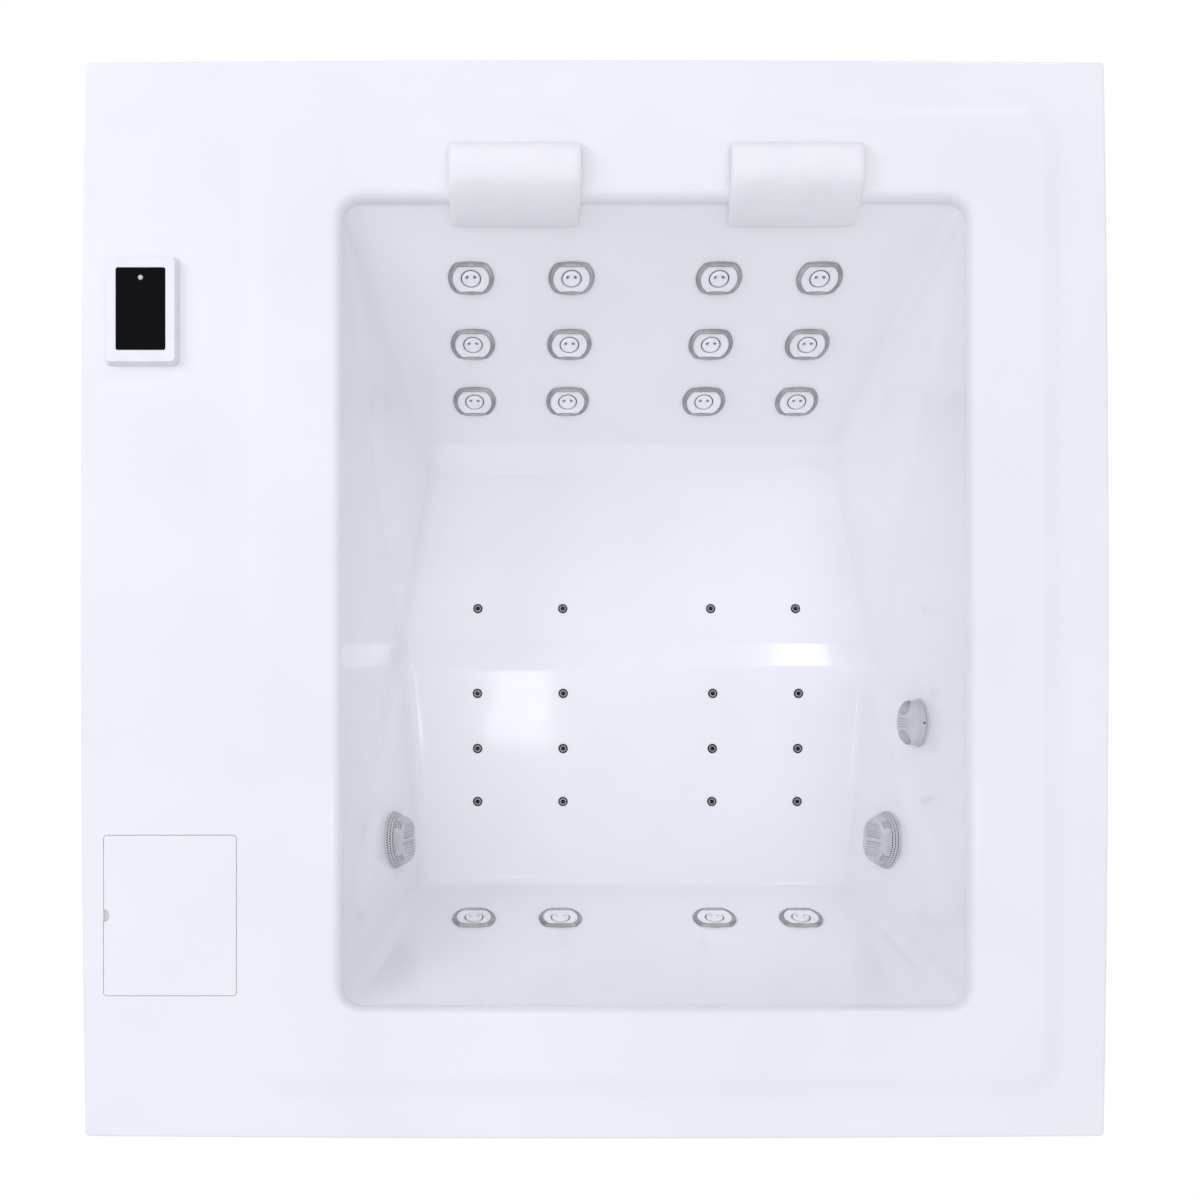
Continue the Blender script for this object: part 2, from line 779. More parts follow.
@dataclass(frozen=True)
class Basin:
    """Profile and outline of the basin; depths are below the raised panel."""

    top: float = 720.0
    deck: float = 712.0
    middle: float = 109.0
    rim_half: float = 565.0
    lip_depth: float = 25.0
    rim_back: Point = (719.0, 25.0)
    rim_front: Point = (-736.0, 25.0)
    wall_foot: Point = (362.0, 457.0)
    seat_back: Point = (307.0, 495.0)
    seat_front: Point = (-57.0, 460.0)
    knee: Point = (-115.0, 430.0)
    leg_front: Point = (-574.0, 460.0)
    foot_half: float = 444.0
    seat_back_half: float = 438.0
    seat_front_half: float = 495.0
    knee_half: float = 490.0
    leg_half: float = 457.0
    corner_r: float = 26.0
    rim_r: float = 36.0
    lip_r: float = 54.0
    lip_w: float = 20.0
    lip_front: float = 13.0
    lip_back: float = 23.0
    sheet: float = 6.0
    seat_in: float = 1.5
    suction_at: Point = (-465.0, 322.0)
    knob_at: Point = (-226.0, 212.0)

    @property
    def rim(self) -> Outline:
        """Half width, front, rear and corner radius of the lip's inner edge."""
        return self.rim_half, self.rim_front[0], self.rim_back[0], self.rim_r

    @property
    def lip(self) -> Outline:
        """Half width, front, rear and corner radius of the lip's outer edge."""
        w, front, rear, _ = self.rim
        return w + self.lip_w, front - self.lip_front, rear + self.lip_back, self.lip_r

    @staticmethod
    def slope(a: Point, b: Point) -> float:
        """Slope between two profile points, in degrees from level."""
        return math.degrees(math.atan2(abs(a[1] - b[1]), abs(a[0] - b[0])))

    def ball(self, a: Point, b: Point, c: Point) -> Point:
        """Middle (y, z) of the ball that rounds corner b of the profile a, b, c.

        Args:
            a: profile point before the corner.
            b: the corner.
            c: profile point after the corner.

        Returns:
            y and z of the middle.
        """
        def inward(p: Point, q: Point) -> np.ndarray:
            """Direction of the water side of the line from p to q."""
            v = np.array([q[1] - p[1], q[0] - p[0]], float)
            return v / np.linalg.norm(v)
        u, v = inward(a, b), inward(b, c)
        shift = self.corner_r * np.array([u[0] + v[0], -(u[1] + v[1])]) / (1 + u @ v)
        return b[0] + shift[0], self.top - (b[1] + shift[1])

    def on_back(self, x: float, s: float) -> Matrix:
        """Place on the rear wall, s down the wall; local z points into the water."""
        return self._on_wall(x, -s, self.rim_back, self.slope(self.rim_back, self.wall_foot))

    def on_front(self, x: float, s: float) -> Matrix:
        """Place on the front wall of the leg well."""
        return self._on_wall(x, s, self.rim_front, -self.slope(self.rim_front, self.leg_front))

    def _on_wall(self, x: float, s: float, rim: Point, tilt: float) -> Matrix:
        """Place on a tilted wall from its rim."""
        return (Matrix.Translation((self.middle, rim[0], self.top - rim[1]))
                @ Matrix.Rotation(math.radians(tilt), 4, "X") @ Matrix.Translation((x, s, 0)))

    def on_floor(self, a: Point, b: Point, x: float, y: float) -> Matrix:
        """Place on the floor between profile points a (rear) and b (front).

        Args:
            a: y and depth of the rear point.
            b: y and depth of the front point.
            x: distance right of the middle.
            y: distance behind the origin.

        Returns:
            The place, with local z off the floor.
        """
        depth = a[1] + (b[1] - a[1]) * (y - a[0]) / (b[0] - a[0])
        return (Matrix.Translation((self.middle + x, y, self.top - depth))
                @ Matrix.Rotation(math.atan2(b[1] - a[1], a[0] - b[0]), 4, "X"))

    def on_side(self, side: int, n: Sequence[float], half: float, at: Point) -> Matrix:
        """Place of a fitting that sits seat_in deep in a side wall.

        Args:
            side: 1 for the right wall, -1 for the left one.
            n: normal of the right wall.
            half: half width of the basin at the place.
            at: y and depth of the place.

        Returns:
            The place, with local z off the wall.
        """
        return (Matrix.Translation((self.middle + side * half, at[0], self.top - at[1]))
                @ Matrix.Rotation(math.atan2(n[1], side * n[0]), 4, "Z")
                @ Matrix.Rotation(math.acos(n[2]), 4, "Y")
                @ Matrix.Translation((0, 0, -self.seat_in)))

    def suction(self, side: int) -> Matrix:
        """Place of a suction cover, on the plane through the rim, the knee and the leg well.

        Args:
            side: 1 for the right wall, -1 for the left one.

        Returns:
            The place, with local z off the wall.
        """
        rim = np.array([self.rim_half, self.rim_front[0] + self.rim_r, self.top - self.lip_depth])
        knee = np.array([self.knee_half, self.knee[0], self.top - self.knee[1]])
        leg = np.array([self.leg_half, self.leg_front[0], self.top - self.leg_front[1]])
        n = np.cross(knee - rim, leg - rim)
        n /= np.linalg.norm(n)
        y, depth = self.suction_at
        half = rim[0] - (n[1] * (y - rim[1]) + n[2] * (self.top - depth - rim[2])) / n[0]
        return self.on_side(side, n, half, self.suction_at)

    def knob(self) -> Matrix:
        """Place of the overflow knob, on the wall between the rim and the step's ball.

        Returns:
            The place, with local z off the wall.
        """
        ball = self.ball(self.knee, self.seat_front, self.seat_back)
        out = self.rim_half - (self.seat_front_half - self.corner_r)
        down = (self.top - ball[1]) - self.lip_depth
        tilt = math.atan2(out, down) - math.asin(self.corner_r / math.hypot(out, down))
        n = (-math.cos(tilt), 0.0, math.sin(tilt))
        half = self.rim_half - n[2] * (self.lip_depth - self.knob_at[1]) / n[0]
        return self.on_side(1, n, half, self.knob_at)


BASIN = Basin()
JET_SHIFT, NOZZLE_SHIFT = -6.0, 4.0
BACK_JET_X = (-331.0, -140.0, 140.0, 331.0)
BACK_ROWS = {"top": 155.0, "mid": 307.0, "low": 449.0}
FOOT_JET_X = (-331.0, -156.0, 156.0, 331.0)
FOOT_ROW = 319.0
AIR_X = (-337.0, -157.0, 157.0, 337.0)
SEAT_AIR_Y = 12.0
LEG_AIR_Y = (-168.0, -284.0, -396.0)


def jet_places() -> dict[str, Matrix]:
    """Place of each jet, by the name of its nozzle node.

    Returns:
        The places, with local z off the wall.
    """
    places = {f"nozzle_{row}_{i}": BASIN.on_back(x + JET_SHIFT, s)
              for row, s in BACK_ROWS.items() for i, x in enumerate(BACK_JET_X, 1)}
    return places | {f"nozzle_foot_{i}": BASIN.on_front(x + JET_SHIFT, FOOT_ROW)
                     for i, x in enumerate(FOOT_JET_X, 1)}


def air_places() -> list[Matrix]:
    """Place of each air nozzle, the seat's row first.

    Returns:
        The places, with local z off the floor.
    """
    seat = [BASIN.on_floor(BASIN.seat_back, BASIN.seat_front, x + NOZZLE_SHIFT, SEAT_AIR_Y)
            for x in AIR_X]
    return seat + [BASIN.on_floor(BASIN.knee, BASIN.leg_front, x + NOZZLE_SHIFT, y)
                   for y in LEG_AIR_Y for x in AIR_X]


# Acrylic shell

class Cavity:
    """Underside of a convex hull, as a height above every point of the plan."""

    def __init__(self, points: Iterable[Point3]) -> None:
        """Keep the supporting planes of the hull's lower faces.

        Args:
            points: points in mm.
        """
        corners = np.array(list(points))
        bm = bmesh.new()
        for p in corners:
            bm.verts.new(p)
        bmesh.ops.convex_hull(bm, input=bm.verts[:])
        slopes = {(round(-f.normal.x / f.normal.z, 5), round(-f.normal.y / f.normal.z, 5))
                  for f in bm.faces if f.normal.z < -0.01}
        bm.free()
        tilt = np.array(sorted(slopes))
        base = (corners[:, 2] - tilt @ corners[:, :2].T).min(axis=1)
        self.planes = np.column_stack([tilt, base])

    def height(self, xy: np.ndarray) -> np.ndarray:
        """Height of the cavity's bottom above each point.

        Args:
            xy: points of the plan.

        Returns:
            Height at each point.
        """
        top = np.full(len(xy), -np.inf)
        for part in np.array_split(self.planes, max(1, len(self.planes) // 64)):
            top = np.maximum(top, (xy @ part[:, :2].T + part[:, 2]).max(axis=1))
        return top


@dataclass
class Shell:
    """Acrylic shell as one sheet: deck, raised panel, lip, and the basin with its fillets."""

    half_w: float = 920.0
    half_l: float = 970.0
    side_bow: float = 9.0
    end_bow: float = 4.5
    corner: float = 6.0
    deck_steps: int = 34
    panel: Outline = (735.0, -896.5, 896.5, 77.0)
    panel_edge: float = 56.0
    panel_start: float = 0.22
    panel_steps: int = 17
    lip_step: float = 7.0
    lip_round: float = 0.757
    blend: float = 4.5
    across: int = 44
    along_gap: float = 22.0
    ball_steps: int = 32
    corner_steps: int = 8
    wall_steps: int = 15
    jet_hole: float = 30.0
    air_hole: float = 6.5
    suction_hole: float = 50.0
    knob_hole: float = 30.0
    hatch: tuple[float, ...] = (-767.0, -571.0, 120.5, 145.5, 7.0)  # x, y, half sizes, radius
    pod: tuple[float, ...] = (-816.6, 519.0, 50.0, 80.0, 6.0)
    verts: list[Point3] = field(default_factory=list)
    faces: list[tuple[int, ...]] = field(default_factory=list)

    # Distances in and down from the deck's edge
    EDGE = ((0.0, 40.0), (0.0, 20.0), (0.0, 4.0), (0.5, 2.0), (1.9, 0.5), (4.0, 0.0), (9.0, 0.0))
    # Shares of the way across the rolled lip
    LIP = (0.0, 0.12, 0.25, 0.38, 0.5, 0.61, 0.71, 0.8, 0.87, 0.93, 0.97)
    # Distances from the rim at the top of the walls, and angles round the fillet at their foot
    WALL_START = (-1.0, -2.4, -4.6)
    FILLET = (0.0, 10.0, 20.0, 30.0, 40.0, 50.0, 60.0, 70.0, 80.0, 89.99)
    # Rings of neighbours whose heights are blended: share of the blend, number, first angle
    NEIGHBOURS = ((0.5, 6, 0.0), (1.0, 10, 0.3))
    # Distances outside the lip, and (distance outside the rim, drop below or rise above its step)
    LIP_START = (60.0, 8.0)
    LIP_END = ((0.3, 1.4), (0.1, -0.8))
    # How far around a hole faces are looked at, how far off its plane, and the least margin
    PUNCH_REACH, PUNCH_DEPTH, PUNCH_MARGIN = 90.0, 8.0, 1.0

    def balls(self, *corners: tuple) -> list[Point3]:
        """Points of the balls on both sides at profile corners.

        Args:
            corners: three profile points and the half width at the middle one.

        Returns:
            Points of all balls.
        """
        points = []
        n, r = self.ball_steps, BASIN.corner_r
        ups = [math.pi * (i / (n // 2) - 0.5) for i in range(n // 2 + 1)]
        turns = [2 * math.pi * k / n for k in range(n)]
        for a, b, c, half in corners:
            y, z = BASIN.ball(a, b, c)
            for side in SIDES:
                x = BASIN.middle + side * (half - r)
                points += [(x + r * math.cos(up) * math.cos(t), y + r * math.cos(up) * math.sin(t),
                            z + r * math.sin(up)) for up in ups for t in turns]
        return points

    @cached_property
    def cavities(self) -> list[Cavity]:
        """Seat part and leg part of the basin.

        Returns:
            Both cavities.
        """
        b = BASIN
        z = b.top - b.lip_depth
        outline = rounded_rect(b.middle - b.rim_half, b.middle + b.rim_half, b.rim_front[0],
                               b.rim_back[0], b.rim_r, 12)
        rim = [(x, y, z + up) for up in (0, 1) for x, y in outline]
        seat = self.balls((b.rim_front, b.knee, b.seat_front, b.knee_half),
                          (b.knee, b.seat_front, b.seat_back, b.seat_front_half),
                          (b.seat_front, b.seat_back, b.wall_foot, b.seat_back_half),
                          (b.seat_back, b.wall_foot, b.rim_back, b.foot_half))
        leg = self.balls((b.rim_front, b.leg_front, b.knee, b.leg_half),
                         (b.leg_front, b.knee, b.rim_back, b.knee_half))
        return [Cavity(rim + seat), Cavity(rim + leg)]

    def basin_height(self, xy: np.ndarray) -> np.ndarray:
        """Height of the basin inside its rim, with every edge blended over a few mm.

        Args:
            xy: points of the plan.

        Returns:
            Mean height over two small rings of neighbours and the point itself.
        """
        shifts = [(0.0, 0.0)]
        for r, n, turn in self.NEIGHBOURS:
            angles = [turn + 2 * math.pi * i / n for i in range(n)]
            shifts += [(self.blend * r * math.cos(a), self.blend * r * math.sin(a))
                       for a in angles]
        total = np.zeros(len(xy))
        for shift in shifts:
            low = [shape.height(xy + np.array(shift)) for shape in self.cavities]
            total += np.minimum(BASIN.top, np.minimum(*low))
        return total / len(shifts)

    @cached_property
    def ys(self) -> np.ndarray:
        """Stations along y on the floor, close together where the floor bends.

        Returns:
            The stations, front to rear.
        """
        b = BASIN
        y0 = b.ball(b.rim_front, b.leg_front, b.knee)[0]
        y1 = b.ball(b.seat_back, b.wall_foot, b.rim_back)[0]
        marks = {y0, y1}
        for bend, reach in ((b.knee[0], 9.0), (b.seat_front[0], 9.0), (b.seat_back[0], 12.0),
                            (b.wall_foot[0] - 6.0, 6.0)):
            marks |= {bend + reach * s for s in (-1, -0.66, -0.33, 0, 0.33, 0.66, 1)}
        line = sorted(m for m in marks if y0 <= m <= y1)
        stations = [y0]
        for start, m in zip(line, line[1:]):
            steps = max(1, round((m - start) / self.along_gap))
            stations += [start + (m - start) * i / steps for i in range(1, steps + 1)]
        return np.array(stations)

    @cached_property
    def share(self) -> np.ndarray:
        """The stations as shares of the way from the first to the last."""
        return (self.ys - self.ys[0]) / (self.ys[-1] - self.ys[0])

    @cached_property
    def foot_half(self) -> np.ndarray:
        """Half width of the basin's foot at each station.

        Returns:
            The half widths, front to rear.
        """
        b = BASIN
        marks = [p[0] for p in (b.leg_front, b.knee, b.seat_front, b.seat_back, b.wall_foot)]
        return np.interp(self.ys, marks, [b.leg_half, b.knee_half, b.seat_front_half,
                                          b.seat_back_half, b.foot_half])

    def loop(self, half: np.ndarray, ys: np.ndarray, r: float) -> np.ndarray:
        """Closed ring with round corners.

        Args:
            half: half width at each station.
            ys: stations along y, from corner to corner.
            r: corner radius.

        Returns:
            Points, counter-clockwise from the front right corner.
        """
        mid, w0, w1, y0, y1 = BASIN.middle, half[0] - r, half[-1] - r, ys[0], ys[-1]
        right, left = [np.column_stack([mid + side * half, ys])[1:-1] for side in (1, -1)]
        rear, front = [np.column_stack([np.linspace(mid - w, mid + w, self.across + 1),
                                        np.full(self.across + 1, y)])[1:-1]
                       for w, y in ((w1, y1 + r), (w0, y0 - r))]
        corners = [arc_points(mid + x, y, r, start, 90, self.corner_steps) for x, y, start in (
            (w1, y1, 0), (-w1, y1, 90), (-w0, y0, 180), (w0, y0, 270))]
        return np.vstack([right, corners[0], rear[::-1], corners[1], left[::-1], corners[2],
                          front, corners[3]])

    def ring(self, outline: Outline, out: float) -> np.ndarray:
        """Ring round a rounded rectangle, with the stations of the floor.

        Args:
            outline: half width, front, rear and corner radius.
            out: distance outside the outline.

        Returns:
            Points, counter-clockwise from the front right corner.
        """
        w, y0, y1, r = (v + way * out for v, way in zip(outline, (1, -1, 1, 1)))
        ys = y0 + r + (y1 - y0 - 2 * r) * self.share
        return self.loop(np.full(len(ys), w), ys, r)

    def foot_ring(self, angle: float) -> np.ndarray:
        """Ring on the bottom fillet, at an angle below level."""
        out = BASIN.corner_r * math.cos(math.radians(angle))
        return self.loop(self.foot_half - BASIN.corner_r + out, self.ys, out)

    def panel_rings(self) -> list[Ring]:
        """Rings of the panel's soft edge, from the deck up.

        Returns:
            Rings with their heights.
        """
        rise = BASIN.top - BASIN.deck
        return [(self.ring(self.panel, self.panel_edge * (self.panel_start - t)),
                 BASIN.deck + rise * t * t * (3 - 2 * t))
                for t in np.linspace(0.0, 1.0, self.panel_steps)]

    def lip_rings(self) -> list[Ring]:
        """Rings of the lip, which rolls over and ends in a short upright step.

        Returns:
            Rings with their heights.
        """
        top, drop = BASIN.top, BASIN.lip_depth - self.lip_step
        outer, inner = self.ring(BASIN.lip, 0.0), self.ring(BASIN.rim, 0.0)
        rings = [(self.ring(BASIN.lip, out), top) for out in self.LIP_START]
        rings += [(outer + (inner - outer) * t,
                   top - drop / self.lip_round * (1 - math.sqrt(1 - t * t))) for t in self.LIP]
        return rings + [(self.ring(BASIN.rim, out), top - level - down)
                        for (out, down), level in zip(self.LIP_END, (drop, BASIN.lip_depth))]

    def wall_rings(self) -> list[Ring]:
        """Rings of the basin's walls and of the fillet at their foot.

        Returns:
            Rings with their heights.
        """
        plans = [self.ring(BASIN.rim, out) for out in self.WALL_START]
        top, foot = plans[-1], self.foot_ring(0.0)
        plans += [top + (foot - top) * t for t in np.linspace(0, 1, self.wall_steps)[1:-1]]
        plans += [self.foot_ring(angle) for angle in self.FILLET]
        heights = self.basin_height(np.vstack(plans))
        return list(zip(plans, heights.reshape(len(plans), -1)))

    def add(self, xy: np.ndarray, z: np.ndarray | float) -> list[int]:
        """Add a ring of points and return their numbers.

        Args:
            xy: points of the plan.
            z: one height, or one for each point.

        Returns:
            Numbers of the new points.
        """
        first = len(self.verts)
        heights = np.broadcast_to(z, len(xy))
        self.verts += [(float(p[0]), float(p[1]), float(h)) for p, h in zip(xy, heights)]
        return list(range(first, len(self.verts)))

    def deck_loop(self, gap: float, r: float) -> np.ndarray:
        """Bowed outline of the deck with small round corners.

        Args:
            gap: distance that the outline is moved in by.
            r: corner radius.

        Returns:
            Points, counter-clockwise.
        """
        x, y = self.half_w - gap, self.half_l - gap
        corners = [np.array(p, float) for p in ((x, -y), (x, y), (-x, y), (-x, -y))]
        points = []
        for i, bow in enumerate((self.side_bow, self.end_bow) * 2):
            a, b = corners[i], corners[(i + 1) % 4]
            along = (b - a) / np.linalg.norm(b - a)
            out = np.array([along[1], -along[0]])
            cut = r / np.linalg.norm(b - a)
            points += [a + (b - a) * t + out * bow * (1 - (2 * t - 1) ** 2)
                       for t in np.linspace(cut, 1 - cut, self.deck_steps)]
            corner = b + (-along - out) * r
            points += [corner + out * r * math.cos(turn) + along * r * math.sin(turn)
                       for turn in (math.pi / 6, math.pi / 3)]
        return np.array(points)

    def strip(self, rings: list[Ring]) -> list[list[int]]:
        """Add rings of points with heights, and the faces between neighbours.

        Args:
            rings: rings with their heights, from outside to inside.

        Returns:
            Numbers of each ring.
        """
        numbers = [self.add(xy, z) for xy, z in rings]
        for outer, inner in zip(numbers, numbers[1:]):
            self.faces += band(outer, inner)
        return numbers

    def surface(self) -> list[list[int]]:
        """All rings from the deck's edge to the floor, and the floor's grid.

        Returns:
            Closed outlines that bound the flat deck: outer, inner, hatch and controller.
        """
        edge = self.strip([(self.deck_loop(gap, self.corner - min(gap, self.corner / 2)),
                            BASIN.deck - down) for gap, down in self.EDGE])
        basin = self.strip(self.panel_rings() + self.lip_rings() + self.wall_rings())
        self.floor(basin[-1])
        holes = [self.add(np.array(rounded_rect(x - w, x + w, y - l, y + l, r)), BASIN.deck)
                 for x, y, w, l, r in (self.hatch, self.pod)]
        return [edge[-1], basin[0], *holes]

    def floor(self, ring: list[int]) -> None:
        """Grid inside the last ring, whose corners have shrunk to points.

        Args:
            ring: point numbers, counter-clockwise from the front right corner.
        """
        n, m, c = self.across, len(self.ys) - 1, self.corner_steps + 1
        cuts = np.cumsum([m - 1, c, n - 1, c, m - 1, c, n - 1])
        right, back_right, rear, back_left, left, front_left, front, front_right = (
            part.tolist() for part in np.split(np.array(ring), cuts))
        left = left[::-1]
        inner = [(x0 + (x1 - x0) * i / n, y) for (x0, y, _), (x1, _, _) in (
            (self.verts[a], self.verts[b]) for a, b in zip(left, right)) for i in range(1, n)]
        numbers = self.add(np.array(inner), self.basin_height(np.array(inner)))
        grid = [[front_left[0], *front, front_right[-1]]]
        grid += [[left[j], *numbers[j * (n - 1):(j + 1) * (n - 1)], right[j]]
                 for j in range(m - 1)]
        grid.append([back_left[0], *rear[::-1], back_right[0]])
        self.faces += [(low[i], low[i + 1], high[i + 1], high[i])
                       for low, high in zip(grid, grid[1:]) for i in range(n)]

    def build(self) -> Piece:
        """Make the whole shell and hand it over as one piece.

        Returns:
            The shell.
        """
        outlines = self.surface()
        bm = bmesh.new()
        points = [bm.verts.new(v) for v in self.verts]
        for face in self.faces:
            bm.faces.new([points[i] for i in face])
        edges = []
        for ring in outlines:
            for a, b in zip(ring, ring[1:] + ring[:1]):
                pair = (points[a], points[b])
                edges.append(bm.edges.get(pair) or bm.edges.new(pair))
        bmesh.ops.triangle_fill(bm, use_beauty=True, edges=edges, normal=(0, 0, 1))
        bmesh.ops.remove_doubles(bm, verts=bm.verts[:], dist=0.02)
        seat = Matrix.Translation((0, 0, BASIN.seat_in))
        holes = [(place, self.jet_hole, 48) for place in jet_places().values()]
        holes += [(place, self.air_hole, 24) for place in air_places()]
        holes += [(BASIN.suction(side) @ seat, self.suction_hole, 48) for side in SIDES]
        holes.append((BASIN.knob() @ seat, self.knob_hole, 48))
        for hole in holes:
            self.punch(bm, *hole)
        self.turn_up(bm)
        piece = dressed("shell_sheet", in_metres("shell_sheet", bm), Slot.ACRYLIC)
        thick = piece.modifiers.new("sheet", "SOLIDIFY")
        thick.thickness, thick.offset = BASIN.sheet * MM, -1.0
        smoothed(baked(piece).data)
        return settle(piece, "tub", Slot.ACRYLIC, "acrylic_shell")

    def punch(self, bm: WorkMesh, place: Matrix, radius: float, steps: int) -> None:
        """Cut a round hole into a flat stretch of the sheet.

        Args:
            bm: the sheet, in mm.
            place: middle of the hole, with local z off the wall.
            radius: radius of the hole.
            steps: corners of the hole's outline.
        """
        back = place.inverted()
        area = []
        for face in bm.faces:
            if (face.calc_center_median() - place.translation).length > radius + self.PUNCH_REACH:
                continue
            local = [back @ v.co for v in face.verts]
            if max(abs(p.z) for p in local) > self.PUNCH_DEPTH:
                continue
            xs, ys = [p.x for p in local], [p.y for p in local]
            near = (max(min(xs), min(0.0, max(xs))), max(min(ys), min(0.0, max(ys))))
            if math.hypot(*near) < radius + self.PUNCH_MARGIN:
                area.append(face)
        inside = set(area)
        rim = [e for e in {e for f in area for e in f.edges}
               if sum(f in inside for f in e.link_faces) == 1]
        bmesh.ops.delete(bm, geom=area, context="FACES_ONLY")
        loose = [e for e in bm.edges if not e.link_faces and e not in set(rim)]
        bmesh.ops.delete(bm, geom=loose, context="EDGES")
        bmesh.ops.delete(bm, geom=[v for v in bm.verts if not v.link_edges], context="VERTS")
        turns = [2 * math.pi * i / steps for i in range(steps)]
        circle = [bm.verts.new(place @ Vector((radius * math.cos(a), radius * math.sin(a), 0)))
                  for a in turns]
        ring = [bm.edges.new((circle[i], circle[(i + 1) % steps])) for i in range(steps)]
        bmesh.ops.triangle_fill(bm, use_beauty=True, edges=[e for e in rim if e.is_valid] + ring,
                                normal=place.to_3x3() @ Vector((0, 0, 1)))

    @staticmethod
    def turn_up(bm: WorkMesh) -> None:
        """Turn every face towards the water side.

        Args:
            bm: the sheet.
        """
        bmesh.ops.recalc_face_normals(bm, faces=bm.faces[:])
        highest = max(bm.faces, key=lambda f: f.calc_center_median().z)
        if highest.normal.z < 0:
            bmesh.ops.reverse_faces(bm, faces=bm.faces[:])


# Repeated pieces by geometry nodes

@dataclass
class Repeat:
    """One shape set on many places by a node tree, then turned into a plain mesh."""

    name: str
    shape: Piece
    places: Sequence[Matrix]
    slot: Slot
    scale: float = 1.0

    INPUTS = (("Places", "Geometry"), ("Shape", "Object"), ("Scale", "Float"),
              ("Finish", "Material"))

    def points(self) -> Piece:
        """Mesh of bare points that carry the turn of each place.

        Returns:
            Its object.
        """
        mesh = bpy.data.meshes.new(self.name)
        mesh.from_pydata([tuple(p.translation * MM) for p in self.places], [], [])
        turn = mesh.attributes.new("turn", "FLOAT_VECTOR", "POINT")
        for value, place in zip(turn.data, self.places):
            value.vector = place.to_euler()
        return linked(self.name, mesh)

    def tree(self) -> bpy.types.GeometryNodeTree:
        """Node tree with named inputs for the places, the shape, its scale and its finish.

        Returns:
            The tree.
        """
        tree = bpy.data.node_groups.new(self.name + "_tree", "GeometryNodeTree")
        for name, kind in self.INPUTS:
            tree.interface.new_socket(name, in_out="INPUT", socket_type="NodeSocket" + kind)
        tree.interface.new_socket("Piece", in_out="OUTPUT", socket_type="NodeSocketGeometry")
        bench = Bench(tree)
        given = bench.add("NodeGroupInput").outputs
        shape = bench.add("GeometryNodeObjectInfo", {"Object": given["Shape"]})
        turn = bench.add("GeometryNodeInputNamedAttribute", {"Name": "turn"},
                         data_type="FLOAT_VECTOR")
        euler = bench.add("FunctionNodeEulerToRotation", {0: turn.outputs["Attribute"]})
        spread = bench.add("GeometryNodeInstanceOnPoints", {
            "Points": given["Places"], "Instance": shape.outputs["Geometry"],
            "Rotation": euler.outputs[0], "Scale": given["Scale"]})
        real = bench.add("GeometryNodeRealizeInstances", {"Geometry": spread.outputs[0]})
        finished = bench.add("GeometryNodeSetMaterial", {
            "Geometry": real.outputs[0], "Material": given["Finish"]})
        bench.add("NodeGroupOutput", {0: finished.outputs[0]})
        return tree

    def build(self) -> Piece:
        """Run the tree and keep its result; the single shape is removed.

        Returns:
            The joined piece.
        """
        piece = self.points()
        modifier = piece.modifiers.new("repeat", "NODES")
        modifier.node_group = self.tree()
        values = {"Shape": self.shape, "Scale": self.scale,
                  "Finish": FINISHES[self.slot].material()}
        for item in modifier.node_group.interface.items_tree:
            if item.name in values and item.in_out == "INPUT":
                modifier[item.identifier] = values[item.name]
        baked(piece)
        bpy.data.objects.remove(self.shape)
        piece.data.set_sharp_from_angle(angle=math.radians(SHARP))
        return piece


def turned(name: str, profile: Sequence[Point], slot: Slot, segments: int = 48) -> Piece:
    """Piece turned about the z axis, with crisp edges."""
    return finish_mesh(name, spin(profile, segments), slot, SHARP_TURNED)


def spread(places: Sequence[Matrix], *rows: tuple) -> None:
    """Set shapes on places as pieces of the tub.

    Args:
        places: where each shape stands.
        rows: name, single shape and slot of each piece, and the CAD nodes that it replaces.
    """
    for name, shape, slot, *nodes in rows:
        settle(Repeat(name, shape, places, slot).build(), "tub", slot, *nodes)


# Jets

